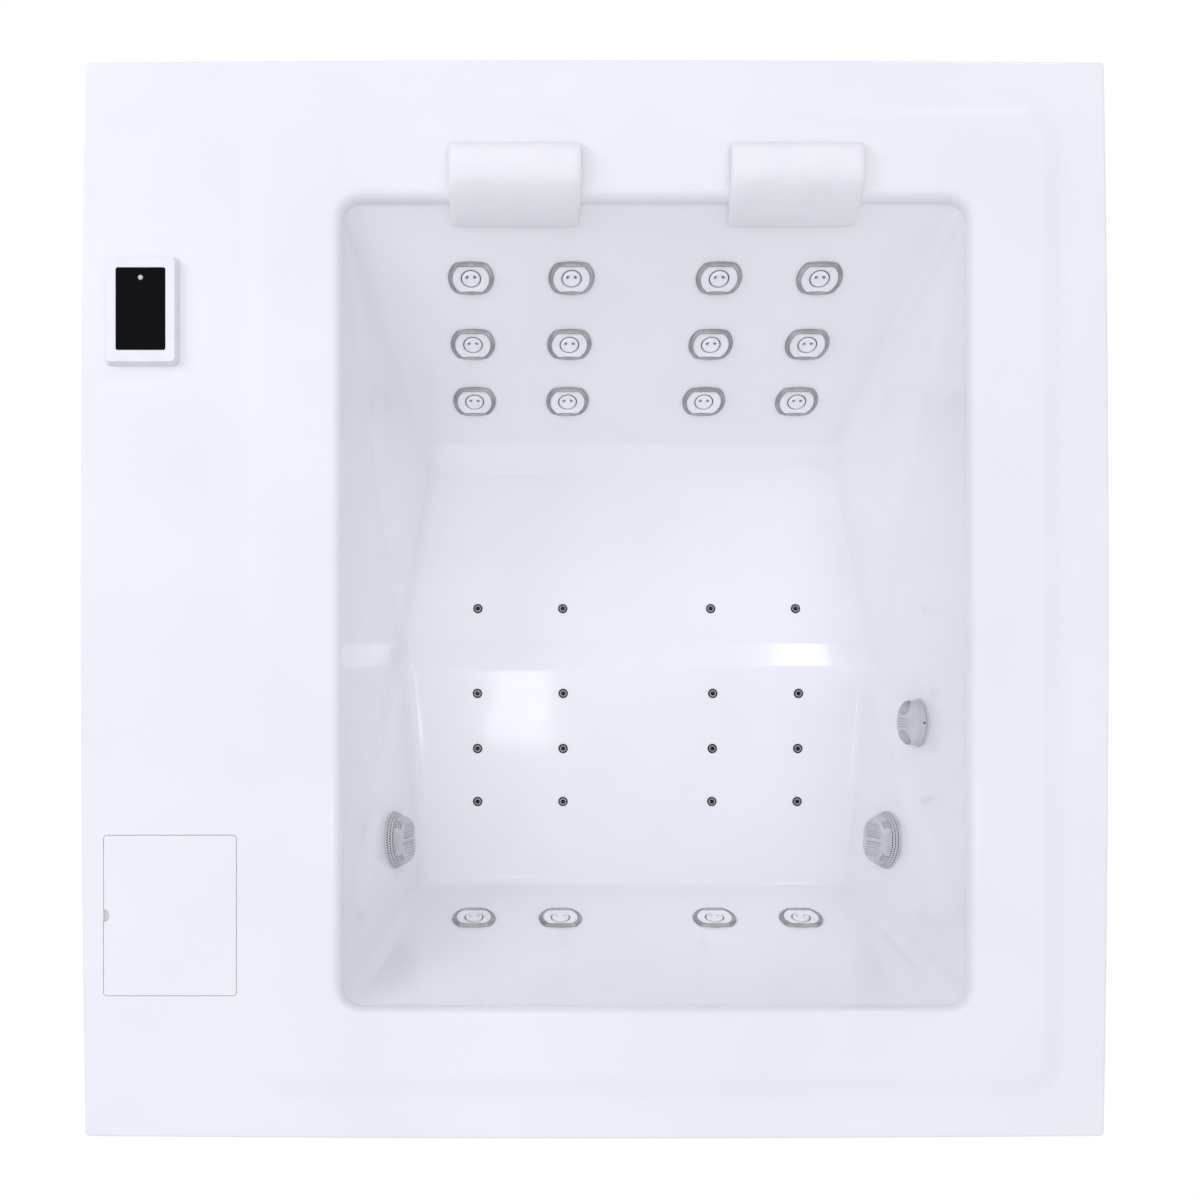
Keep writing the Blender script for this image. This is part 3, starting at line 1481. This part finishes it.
@dataclass
class Jets:
    """Sixteen water jets: satin trim plates, white faces and turning nozzles."""

    width: float = 88.0
    height: float = 72.0
    edge_curve: float = 130.0
    face_r: float = 35.5
    face_half_h: float = 27.5
    face_foot: float = 27.8
    hollow: float = 150.0
    bore_r: float = 19.2
    nozzle_r: float = 17.3
    face_width: float = 3.4
    bar_half: Point = (26.5, 21.0)
    bar_gap: Point = (0.6, 0.7)
    bar_inset: float = 1.4
    bar_rise: Point = (5.6, 2.6)
    bar_foot: float = 4.4
    bar_steps: tuple[int, int] = (44, 10)
    seal: Point = (0.4, 2.7)
    outlet_r: float = 3.2
    outlet_at: Point3 = (6.4, 5.0, 8.0)
    outlet_tilt: float = 14.0
    outlet_depth: float = 14.0
    outlet_back: float = 5.0
    pipe_r: float = 8.5
    pipe_top: float = -3.0
    steps: int = 96
    turns: int = 64

    # Insets and heights of the plate and the face; the face's inner rows are (radius, height)
    TRIM_OUTER = ((0.0, SEAT_GAP), (0.0, 1.4), (0.35, 2.6), (1.2, 3.9), (2.4, 4.9), (3.6, 5.5),
                  (5.2, 6.0))
    TRIM_INNER = ((2.0, 6.35), (1.1, 6.4), (0.4, 6.1), (0.05, 5.5), (0.0, 4.6), (0.0, SEAT_GAP))
    FACE_OUTER = ((0.25, SEAT_GAP), (0.25, 4.4), (0.55, 5.0), (1.2, 5.3), (3.0, 5.35))
    FACE_INNER = ((24.5, 5.2), (22.2, 5.0), (21.4, 4.6), (21.1, 4.1), (20.0, 3.9), (19.5, 3.6))

    def trim_reach(self, a: float) -> float:
        """Distance of the trim's outline in direction a.

        Args:
            a: direction in radians.

        Returns:
            Distance in mm.
        """
        c = self.edge_curve - self.height / 2
        s = abs(math.sin(a))
        return min(self.width / 2,
                   math.sqrt(c * c * s * s - c * c + self.edge_curve ** 2) - c * s)

    def face_reach(self, a: float) -> float:
        """Distance of the face's outline in direction a: round, flat above, hollow below.

        Args:
            a: direction in radians.

        Returns:
            Distance in mm.
        """
        reach, s = self.face_r, math.sin(a)
        if s > 1e-6:
            return min(reach, self.face_half_h / s)
        if s < -1e-6:
            c = self.face_foot + self.hollow
            inside = self.hollow ** 2 - c * c * math.cos(a) ** 2
            if inside > 0:
                return min(reach, -c * s - math.sqrt(inside))
        return reach

    def ring(self, name: str, rows: Sequence[Callable[[float], Point]], slot: Slot) -> Piece:
        """Closed ring about the z axis.

        Args:
            name: object name.
            rows: each gives (reach, height) in a direction.
            slot: material slot.

        Returns:
            The ring.
        """
        n = self.steps
        verts = [(row(a)[0] * math.cos(a), row(a)[0] * math.sin(a), row(a)[1])
                 for row in rows for a in (2 * math.pi * i / n for i in range(n))]
        loops = [range(j * n, (j + 1) * n) for j in range(len(rows))]
        faces = [face for pair in zip(loops, loops[1:] + loops[:1]) for face in band(*pair)]
        return finish_mesh(name, (verts, faces), slot, SHARP_TURNED)

    def trim(self) -> Piece:
        """Trim plate with a domed rim and a raised inner bead.

        Returns:
            The plate of one jet.
        """
        rows = [lambda a, d=d, z=z: (self.trim_reach(a) - d, z) for d, z in self.TRIM_OUTER]
        rows += [lambda a, d=d, z=z: (self.face_reach(a) + d, z) for d, z in self.TRIM_INNER]
        return self.ring("jet_trim", rows, Slot.CHROME)

    def face(self) -> Piece:
        """White face, softly dished towards a stepped bore.

        Returns:
            The face of one jet.
        """
        inner = (*self.FACE_INNER, (self.bore_r, 3.0), (self.bore_r, SEAT_GAP))
        rows = [lambda a, d=d, z=z: (self.face_reach(a) - d, z) for d, z in self.FACE_OUTER]
        rows += [lambda a, r=r, z=z: (min(r, self.face_reach(a) - self.face_width), z)
                 for r, z in inner]
        return self.ring("jet_face", rows, Slot.JET_WHITE)

    def bar(self, low: Callable[[float], float], high: Callable[[float], float],
            half: float) -> Solid:
        """Rounded bar between two curves of x.

        Args:
            low: lower edge, y at x.
            high: upper edge, y at x.
            half: half length of the bar along x.

        Returns:
            Points and faces of a closed solid.
        """
        n, m = self.bar_steps
        base, rise = self.bar_rise
        verts, faces, k = [], [], m + 3
        for i in range(n + 1):
            x = half * math.sin(math.pi * (i / n - 0.5))
            end = 1 - (x / half) ** 6
            verts += [(x, low(x) + (high(x) - low(x)) * j / m,
                       base + rise * end * math.sin(math.pi * j / m)) for j in range(m + 1)]
            verts += [(x, high(x), self.bar_foot), (x, low(x), self.bar_foot)]
        for i in range(n):
            faces += [(i * k + j, (i + 1) * k + j, (i + 1) * k + (j + 1) % k,
                       i * k + (j + 1) % k) for j in range(k)]
        return verts, faces + [tuple(range(k)), tuple(n * k + j for j in reversed(range(k)))]

    def bars(self) -> Piece:
        """Two polished bars, above and below the white face.

        Returns:
            The bars of one jet.
        """
        c, foot = self.edge_curve - self.height / 2, self.face_foot + self.hollow

        def arc(x: float) -> float:
            """Outline of the trim plate above x."""
            return math.sqrt(self.edge_curve ** 2 - x * x) - c - self.bar_inset

        def dip(x: float) -> float:
            """Lower edge of the face at x."""
            return math.sqrt(self.hollow ** 2 - x * x) - foot - self.bar_gap[1]
        upper = self.bar(lambda x: self.face_half_h + self.bar_gap[0], arc, self.bar_half[0])
        lower = self.bar(lambda x: -arc(x), dip, self.bar_half[1])
        return finish_mesh("jet_bars", joined(upper, lower), Slot.CHROME, 50.0)

    def seal_ring(self) -> Piece:
        """Dark ring in the gap between the face's bore and the nozzle.

        Returns:
            The ring of one jet.
        """
        r, b, (low, top) = self.nozzle_r + 0.08, self.bore_r - 0.05, self.seal
        return turned("jet_seal", [(r, low), (b, low), (b, top), (r, top), (r, low)],
                      Slot.RUBBER, self.turns)

    def nozzle(self) -> Piece:
        """Turning nozzle: dished head, journal with its snap collar, two slanted outlets.

        Returns:
            The nozzle, at the origin.
        """
        r, n = self.nozzle_r, self.turns
        head = spin([(self.pipe_r, -19.0), (14.0, -19.0), (14.0, -14.3), (12.0, -14.3),
                     (12.0, -5.7), (r, -5.7), (r, 3.2), (r - 0.25, 4.1), (r - 0.9, 5.0),
                     (r - 2.2, 5.7), (r - 3.6, 6.2), (12.9, 6.45), (12.4, 6.4), (12.1, 6.1),
                     (11.9, 5.5), (11.5, 5.25), (8.0, 5.2), (0.0, 5.2)], n)
        verts, faces = joined(head, spin([(0.0, self.pipe_top), (self.pipe_r, self.pipe_top)], n))
        first = len(head[0]) + 1
        faces += band(range(first, first + n), range(n))
        piece = finish_mesh("nozzle", (verts, faces), Slot.JET_WHITE, SHARP_TURNED)
        carved(piece, self.outlets())
        smoothed(piece.data, SHARP_CUT)
        return piece

    def outlets(self) -> Piece:
        """Cutter of the two outlets in the dish of a nozzle's head.

        Returns:
            The cutter.
        """
        bm = bmesh.new()
        (x, y, z), r = self.outlet_at, self.outlet_r
        for side in SIDES:
            at = (Matrix.Translation((side * x, y, z))
                  @ Matrix.Rotation(math.radians(-self.outlet_tilt), 4, "X")
                  @ Matrix.Rotation(math.radians(-self.outlet_tilt * side), 4, "Y")
                  @ Matrix.Translation((0, 0, -self.outlet_back)))
            bmesh.ops.create_cone(bm, cap_ends=True, segments=28, radius1=r, radius2=r,
                                  depth=self.outlet_depth, matrix=at)
        return linked("cutter", in_metres("cutter", bm))

    def build(self) -> None:
        """Make all jets; each nozzle turns on its own body."""
        places = jet_places()
        spread(list(places.values()),
               ("jet_trim_set", self.trim(), Slot.CHROME, "jet_trims"),
               ("jet_face_set", self.face(), Slot.JET_WHITE, "jet_faces"),
               ("jet_bar_set", self.bars(), Slot.CHROME),
               ("jet_seal_set", self.seal_ring(), Slot.RUBBER))
        master = self.nozzle()
        for node, place in places.items():
            mesh = master.data.copy()
            stood(mesh, place)
            settle(linked(node + "_head", mesh), node, Slot.JET_WHITE, node)
        bpy.data.objects.remove(master)


@dataclass
class AirNozzles:
    """Sixteen small air nozzles: plated ring on a dark gasket, with a dark centre."""

    radius: float = 7.1
    tube_r: float = 4.9
    tube_end: float = -12.0
    gasket_r: float = 9.9
    gap_r: float = 4.3
    pin_r: float = 1.9
    pin_end: float = -11.0

    def cap(self) -> Piece:
        """Plated ring with a rolled edge and a short tube.

        Returns:
            The cap of one nozzle.
        """
        r, g, end = self.radius, self.gap_r, self.tube_end
        return turned("air_cap", [
            (g - 0.2, end), (self.tube_r, end), (self.tube_r, SEAT_GAP), (r, SEAT_GAP), (r, 1.3),
            (r - 0.2, 1.9), (r - 0.7, 2.4), (r - 1.3, 2.65), (g + 0.9, 2.65), (g + 0.3, 2.3),
            (g, 1.7), (g - 0.2, 0.6), (g - 0.2, end)], Slot.CHROME)

    def gasket(self) -> Piece:
        """Rounded dark ring round the cap.

        Returns:
            The gasket of one nozzle.
        """
        r, c = self.gasket_r, self.radius + 0.1
        return turned("air_gasket", [
            (c, SEAT_GAP), (r, SEAT_GAP), (r, 0.8), (r - 0.25, 1.25), (r - 0.7, 1.45),
            (c + 0.3, 1.3), (c, 0.9), (c, SEAT_GAP)], Slot.BLACK)

    def pin(self) -> Piece:
        """Domed dark pin in the middle of the gap.

        Returns:
            The pin of one nozzle.
        """
        r = self.pin_r
        return turned("air_pin", [(0.0, self.pin_end), (r, self.pin_end), (r, 0.9), (r - 0.2, 1.5),
                                  (r - 0.8, 1.95), (0.0, 2.1)], Slot.BLACK, 32)

    def build(self) -> None:
        """Make all caps, gaskets and pins."""
        spread(air_places(),
               ("air_cap_set", self.cap(), Slot.CHROME, "air_nozzle_caps"),
               ("air_gasket_set", self.gasket(), Slot.BLACK),
               ("air_pin_set", self.pin(), Slot.BLACK))


# Suction covers

@dataclass
class SuctionCover:
    """Perforated dome over a suction body; side is 1 on the right wall, -1 on the left."""

    name: str
    node: str
    side: int
    height: float = 36.0
    dip: float = 4.0
    dip_r: float = 56.0
    holes: int = 66
    hole_r: float = 1.5
    hole_depth: Point = (-7.0, 6.0)
    hole_tilt: float = 65.0
    short_holes: int = 4
    short_start: float = 36.0
    short_gap: float = 5.9
    groove: Point3 = (60.0, 1.7, 1.2)
    groove_rise: float = 10.0
    groove_less: float = 2.2
    grooves: int = 13
    groove_gap: float = 5.2
    steps: int = 108

    OUTSIDE = ((53.5, SEAT_GAP), (63.0, SEAT_GAP), (63.0, 2.2), (62.4, 3.3), (61.2, 3.7),
               (60.1, 3.2), (59.7, 1.9), (58.7, 1.9), (58.3, 3.8), (58.0, 5.6), (57.3, 6.6),
               (56.0, 7.2), (53.9, 12.0), (52.0, 16.3), (50.2, 20.2), (49.9, 20.9), (48.9, 23.0),
               (46.0, 29.4), (44.9, 32.0), (43.2, 34.2), (41.0, 35.5), (38.0, 36.0), (32.0, 36.0),
               (26.0, 36.0), (19.0, 36.0), (12.0, 36.0), (6.0, 36.0), (0.0, 36.0))
    INSIDE = ((0.0, 29.0), (34.0, 29.0), (41.0, 28.6), (43.4, 27.4), (44.6, 25.0), (46.1, 22.0),
              (47.9, 18.0), (48.3, 17.2), (49.9, 13.2), (52.7, 7.0), (53.5, 4.0))
    LINER = ((0.0, 26.5), (33.0, 26.5), (39.5, 26.0), (42.0, 22.0), (45.5, 14.0), (48.5, 7.0),
             (49.0, 4.5), (51.2, 4.5), (51.0, 7.0), (48.4, 13.0), (48.0, 13.6), (47.5, 15.4),
             (44.8, 22.0), (43.0, 25.5), (40.6, 27.6), (34.0, 28.2), (0.0, 28.2))
    # Half width between the flat sides, and the height where they start
    FLAT_OUTSIDE, FLAT_INSIDE, FLAT_LINER = (43.5, 20.5), (40.3, 17.5), (39.3, 13.3)
    # Rows of holes: first radius and height, and how both change from row to row
    ROWS = (55.7, 7.8, -2.3, 5.2)
    SHORT_ROWS = (49.5, 21.8, -1.9, 4.2)

    @staticmethod
    def flattened(point: Point3, flat: Point) -> Point3:
        """The point, held between the flat sides above the height where they start."""
        x, y, z = point
        return (max(-flat[0], min(flat[0], x)) if z > flat[1] else x, y, z)

    def liner(self) -> Piece:
        """Dark strainer cup just behind the perforated wall.

        Returns:
            The cup on its wall.
        """
        verts, faces = spin(self.LINER, self.steps)
        piece = finish_mesh(self.name + "_strainer", (
            [self.flattened(v, self.FLAT_LINER) for v in verts], faces), Slot.BLACK, SHARP_DOME)
        stood(piece.data, BASIN.suction(self.side))
        return settle(piece, "tub", Slot.BLACK)

    def front(self, y: float) -> float:
        """Height of the hollow front face at y."""
        low = self.height - self.dip + self.dip_r
        return min(self.height, low - math.sqrt(max(0.0, self.dip_r ** 2 - y * y)))

    def body(self) -> Piece:
        """Dome with a hollow across its top and flat sides above and below.

        Returns:
            The dome, at the origin.
        """
        verts, faces = spin(self.INSIDE + self.OUTSIDE, self.steps)
        first = 1 + (len(self.INSIDE) - 1) * self.steps
        shaped = [self.flattened(v, self.FLAT_INSIDE) for v in verts[:first]]
        shaped += [(x, y, min(z, self.front(y))) for x, y, z in (
            self.flattened(v, self.FLAT_OUTSIDE) for v in verts[first:])]
        return finish_mesh(self.name, (shaped, faces), Slot.GREY, SHARP_DOME)

    def hole_places(self) -> list[Matrix]:
        """Places of the perforations: three full rows, and short rows beside the flats.

        Returns:
            Places on the dome.
        """
        places = []
        for row in range(3):
            at = (self.ROWS[0] + self.ROWS[2] * row, self.ROWS[1] + self.ROWS[3] * row)
            places += [(360.0 / self.holes * (i + row % 2 * 0.5), *at)
                       for i in range(self.holes)]
        for row in range(3):
            at = (self.SHORT_ROWS[0] + self.SHORT_ROWS[2] * row,
                  self.SHORT_ROWS[1] + self.SHORT_ROWS[3] * row)
            places += [(base + turn * (self.short_start + self.short_gap * (i + row % 2 * 0.5)),
                        *at) for base in (0.0, 180.0) for turn in SIDES
                       for i in range(self.short_holes)]
        return [Matrix.Rotation(math.radians(a), 4, "Z") @ Matrix.Translation((r, 0, z))
                @ Matrix.Rotation(math.radians(self.hole_tilt), 4, "Y") for a, r, z in places]

    def slots(self, bm: WorkMesh) -> None:
        """Fine grooves across the front face, and two deep ones beside its middle rib.

        Args:
            bm: work mesh that the grooves are added to.
        """
        long, wide, deep = self.groove
        for i in range(self.grooves):
            step = i - (self.grooves - 1) / 2
            y, middle = step * self.groove_gap, abs(step)
            cut = deep * (2.0 if middle == 1 else 1.0)
            if middle:
                at = (0.0, y, self.front(y) - cut + self.groove_rise / 2)
                bmesh.ops.create_cube(bm, size=1.0, matrix=Matrix.Translation(at)
                                      @ Matrix.Diagonal((long - middle * self.groove_less, wide,
                                                         self.groove_rise, 1.0)))

    def cutter(self) -> Piece:
        """Solid of all holes and grooves.

        Returns:
            The cutter, in the cover's own frame.
        """
        low, top = self.hole_depth
        pin = finish_mesh("pin", spin([(0, low), (self.hole_r, low), (self.hole_r, top),
                                       (0, top)], 12), Slot.GREY)
        piece = Repeat(self.name + "_holes", pin, self.hole_places(), Slot.GREY).build()
        bm = bmesh.new()
        bm.from_mesh(piece.data)
        bmesh.ops.scale(bm, vec=(1 / MM, 1 / MM, 1 / MM), verts=bm.verts[:])
        self.slots(bm)
        piece.data = in_metres("cutter", bm)
        return piece

    def build(self) -> Piece:
        """Make the cover, cut its holes and set it on its wall.

        Returns:
            The cover.
        """
        piece = carved(self.body(), self.cutter())
        stood(piece.data, BASIN.suction(self.side))
        evened(piece)
        self.liner()
        return settle(piece, "tub", Slot.GREY, self.node)


# Overflow and diverter knob

@dataclass
class OverflowKnob:
    """Domed knob with two finger hollows beside a ribbed grip."""

    radius: float = 44.0
    height: float = 36.0
    foot: float = 6.0
    spindle_r: float = 8.0
    spindle_end: float = -40.0
    hollow_y: float = 29.5
    hollow_up: float = 1.5
    hollow: Point3 = (23.5, 15.0, 28.0)
    ribs: int = 4
    rib_gap: float = 5.4
    rib: Point3 = (50.0, 1.1, 1.8)
    pin_r: float = 2.5
    pin_up: float = 11.0

    def body(self) -> Piece:
        """Round body with its spindle.

        Returns:
            The body before it is cut.
        """
        r, h, s = self.radius, self.height, self.spindle_r
        profile = [(0.0, self.spindle_end), (s, self.spindle_end), (s, self.foot),
                   (r - 1.0, self.foot), (r, 7.0), (r, 14.0), (r - 0.5, 14.6), (r - 0.5, 15.4),
                   (r, 16.0), (r - 0.3, 22.5), (r - 1.1, 25.2), (r - 2.6, 27.6), (r - 5.4, 30.2),
                   (r - 9.0, 32.3), (r - 14.0, 34.2), (r - 21.0, 35.5), (12.0, h), (0.0, h)]
        return finish_mesh("overflow_knob_head", spin(profile, 96), Slot.GREY, SHARP_DOME)

    def cutter(self) -> Piece:
        """Finger hollows, the grooves of the grip and the pin hole in the side.

        Returns:
            The cutter.
        """
        bm = bmesh.new()
        for side in SIDES:
            at = Matrix.Translation((0.0, side * self.hollow_y, self.height + self.hollow_up))
            bmesh.ops.create_uvsphere(bm, u_segments=48, v_segments=28, radius=1.0,
                                      matrix=at @ Matrix.Diagonal((*self.hollow, 1.0)))
        for i in range(self.ribs):
            y = (i - (self.ribs - 1) / 2) * self.rib_gap
            bmesh.ops.create_cube(bm, size=1.0, matrix=Matrix.Translation((0.0, y, self.height))
                                  @ Matrix.Diagonal((*self.rib, 1.0)))
        pin = (Matrix.Translation((-self.radius, 0.0, self.pin_up))
               @ Matrix.Rotation(math.radians(90), 4, "Y"))
        bmesh.ops.create_cone(bm, cap_ends=True, segments=24, radius1=self.pin_r,
                              radius2=self.pin_r, depth=16.0, matrix=pin)
        return linked("cutter", in_metres("cutter", bm))

    def build(self) -> Piece:
        """Make the knob and set it on the right wall.

        Returns:
            The knob.
        """
        piece = carved(self.body(), self.cutter())
        stood(piece.data, BASIN.knob())
        return settle(evened(piece), "overflow_knob", Slot.GREY, "overflow_knob")


# Head pillows

@dataclass
class Pillow:
    """Moulded foam pillow that hooks over the rear lip; side is -1 for the left one."""

    name: str
    node: str
    side: int
    width: float = 240.0
    offset: float = 253.0
    gap: float = 0.9

    # Top (y, z) and foot y from the lip's inner edge and the panel, and the rounded tips
    TOP = ((99, 13), (90, 27), (76, 33), (58, 35), (40, 33.5), (24, 27.5), (10, 17), (-4, 1),
           (-18, -20), (-28, -41))
    FOOT = (97, 84, 68, 52, 38, 24, 10, -4, -18, -29)
    NOSES = ((102, 6), (-33, -57))
    # Places along the pillow, as shares of half its width, and how much of the section is left
    HALF_ENDS = ((0.0, 0.985), (0.45, 1.0), (0.75, 0.96), (0.88, 0.88), (0.95, 0.74),
                 (0.985, 0.55), (1.0, 0.3))
    ENDS = tuple((-share, keep) for share, keep in HALF_ENDS[:0:-1]) + HALF_ENDS

    def lip_height(self, y: float) -> float:
        """Height of the shell at y from the lip's inner edge, below the panel.

        Args:
            y: distance behind the lip's inner edge.

        Returns:
            Height in mm.
        """
        b = BASIN
        if y > b.lip_back:
            return 0.0
        if y > 0:
            return (y - b.lip_back) * b.lip_depth / b.lip_back
        return y * math.tan(math.radians(b.slope(b.rim_back, b.wall_foot))) - b.lip_depth

    def section(self, keep: float) -> np.ndarray:
        """Closed section (y, z), drawn in towards its middle line.

        Args:
            keep: share of the full size.

        Returns:
            Points along the foot, round the front tip, back over the top and the rear tip.
        """
        top = np.array(self.TOP, float)
        low = np.array([(y, self.lip_height(y) + self.gap) for y in self.FOOT])
        mid = (top + low) / 2
        rear, front = [mid[i] + (np.array(nose, float) - mid[i]) * keep
                       for i, nose in zip((0, -1), self.NOSES)]
        return np.vstack([mid + (low - mid) * keep, front, (mid + (top - mid) * keep)[::-1],
                          rear])

    def build(self) -> Piece:
        """Make the pillow as a smooth closed form.

        Returns:
            The pillow.
        """
        verts, faces = [], []
        middle = BASIN.middle + self.side * self.offset
        for share, keep in self.ENDS:
            verts += [(middle + share * (self.width / 2 + min(0.0, y / 6)),
                       BASIN.rim_back[0] + y, BASIN.top + z) for y, z in self.section(keep)]
        n = len(verts) // len(self.ENDS)
        last = (len(self.ENDS) - 1) * n
        for a in range(0, last, n):
            faces += band(range(a, a + n), range(a + n, a + 2 * n))
        for a in (0, last):
            for i in range(len(self.TOP)):
                quad = (a + i, a + i + 1, a + n - 2 - i, a + (n - 1 - i) % n)
                quad = tuple(dict.fromkeys(quad))
                if len(quad) > 2:
                    faces.append(quad if a else quad[::-1])
        piece = finish_mesh(self.name, (verts, faces), Slot.FOAM, 60.0)
        soft = piece.modifiers.new("soft", "SUBSURF")
        soft.levels = soft.render_levels = 2
        baked(piece)
        settle(piece, "tub", Slot.FOAM, self.node)
        return piece


# Studio

COOL, WHITE = "#F5F7FF", "#FFFFFF"


@dataclass(frozen=True)
class Lamp:
    """Rectangular area lamp; places and sizes in metres, power in watts."""

    name: str
    at: Point3
    size: Point
    power: float
    towards: Point3 = (0.0, 0.0, 0.5)
    colour: str = COOL
    mirrored: bool = False

    def build(self) -> None:
        """Hang the lamp and aim it; glossy surfaces show it only if it is mirrored."""
        data = bpy.data.lights.new(self.name, "AREA")
        data.shape = "RECTANGLE"
        data.size, data.size_y = self.size
        data.energy, data.color = self.power, linear(self.colour)[:3]
        lamp = linked(self.name, data)
        lamp.location, lamp.visible_glossy = self.at, self.mirrored
        aim = Vector(self.towards) - Vector(self.at)
        lamp.rotation_euler = aim.to_track_quat("-Z", "Y").to_euler()


LAMPS = (
    Lamp("left_box", (-3.6, 1.6, 3.2), (1.4, 2.4), 50.0),
    Lamp("rear_box", (1.56, 3.4, 2.6), (0.8, 0.5), 7.0, mirrored=True),
    Lamp("rear_fill", (0.0, 3.4, 2.6), (2.0, 0.5), 9.0),
    Lamp("right_box", (3.4, -0.4, 2.4), (0.5, 1.6), 9.0),
    Lamp("front_box", (-0.4, -3.6, 2.6), (2.0, 0.5), 15.0, (0.0, 0.4, 0.5)),
    Lamp("ceiling_box", (-0.14, -0.62, 3.35), (0.26, 0.30), 1.0, (-0.13, -0.3, 0.26), WHITE,
         True),
)


@dataclass(frozen=True)
class Studio:
    """Pale floor, soft sky, lamps and the camera straight above the tub; sizes in metres."""

    camera_at: Point3 = (-0.1368, -0.1818, 3.32)
    lens: float = 43.33
    sensor: float = 36.0
    shift: Point = (0.0675, 0.0833)
    clip: Point = (0.05, 60.0)
    floor_half: float = 14.0
    floor_z: float = -0.002
    overhead: float = 1.12
    around: float = 0.12
    falloff: float = 1.5

    def camera(self) -> None:
        """Camera of the photograph, and the plain view that colours are seen in."""
        bpy.context.scene.view_settings.view_transform = "Standard"
        data = bpy.data.cameras.new("camera")
        data.lens, data.sensor_width = self.lens, self.sensor
        data.shift_x, data.shift_y = self.shift
        data.clip_start, data.clip_end = self.clip
        eye = linked("camera", data)
        eye.location = self.camera_at
        bpy.context.scene.camera = eye

    @staticmethod
    def white_behind(bench: Bench, lit: Socket, white: Socket) -> Socket:
        """Show plain white instead of the lit surface to camera, mirror and glass rays.

        Args:
            bench: tree of the surface.
            lit: shader that lights the scene.
            white: shader that is seen.

        Returns:
            Shader output.
        """
        ray = bench.add("ShaderNodeLightPath").outputs
        mirrored = bench.math("MAXIMUM", ray["Is Glossy Ray"], ray["Is Transmission Ray"])
        seen = bench.math("MAXIMUM", ray["Is Camera Ray"], mirrored)
        return bench.add("ShaderNodeMixShader", {0: seen, 1: lit, 2: white}).outputs[0]

    def floor(self) -> None:
        """Pale matt floor that the camera sees as white."""
        mesh = bpy.data.meshes.new("floor")
        s = self.floor_half
        mesh.from_pydata([(x * s, y * s, self.floor_z)
                          for x, y in ((-1, -1), (1, -1), (1, 1), (-1, 1))], [], [(0, 1, 2, 3)])
        mat = bpy.data.materials.new("floor_paper")
        bench = Bench(emptied(mat))
        tone = bench.mix(bench.noise(400.0), "#F3F3F4", "#EDEDEF")
        paper = bench.add("ShaderNodeBsdfDiffuse", {"Color": tone}).outputs[0]
        white = bench.add("ShaderNodeEmission", {"Color": linear(WHITE), "Strength": 1.0})
        bench.add("ShaderNodeOutputMaterial", {
            "Surface": self.white_behind(bench, paper, white.outputs[0])})
        mesh.materials.append(mat)
        linked("floor", mesh)

    def sky(self) -> None:
        """Soft cool light, brighter from above than from the sides."""
        world = bpy.data.worlds.new("studio")
        bench = Bench(emptied(world))
        way = bench.add("ShaderNodeTexCoord").outputs["Generated"]
        up = bench.add("ShaderNodeSeparateXYZ", {0: way}).outputs["Z"]
        zenith = bench.math("POWER", bench.math("MAXIMUM", up, 0.0), self.falloff)
        strength = bench.math("ADD", bench.times(zenith, self.overhead), self.around)
        dome, white = [bench.add("ShaderNodeBackground", {
            "Color": linear(colour), "Strength": value}).outputs[0]
            for colour, value in ((COOL, strength), (WHITE, 1.0))]
        bench.add("ShaderNodeOutputWorld", {"Surface": self.white_behind(bench, dome, white)})
        bpy.context.scene.world = world


# CAD nodes that keep their shape

def dress_nodes(frame: dict) -> None:
    """Give every CAD node the finish of its material slot.

    Args:
        frame: the loaded frame, with its record and its nodes.
    """
    slots = {s["node"]: s["material_slot"] for s in frame["record"]["subparts"]}
    for name, node in frame["nodes"].items():
        for slot in node.material_slots:
            slot.material = FINISHES[Slot(slots[name])].material()
    log.info("dressed %d CAD nodes", len(frame["nodes"]))


def main() -> None:
    """Build the looks, piece by piece, around the frame."""
    logging.basicConfig(level=logging.INFO, format="%(message)s", stream=sys.stdout)
    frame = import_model()
    studio = Studio()
    studio.camera()
    dress_nodes(frame)
    for part in (Shell(), Jets(), AirNozzles(),
                 SuctionCover("cover_left", "suction_cover_left", -1),
                 SuctionCover("cover_right", "suction_cover_right", 1), OverflowKnob(),
                 Pillow("pillow_left", "left_pillow", -1),
                 Pillow("pillow_right", "right_pillow", 1)):
        part.build()
    studio.floor()
    studio.sky()
    for lamp in LAMPS:
        lamp.build()


if __name__ == "__main__":
    main()
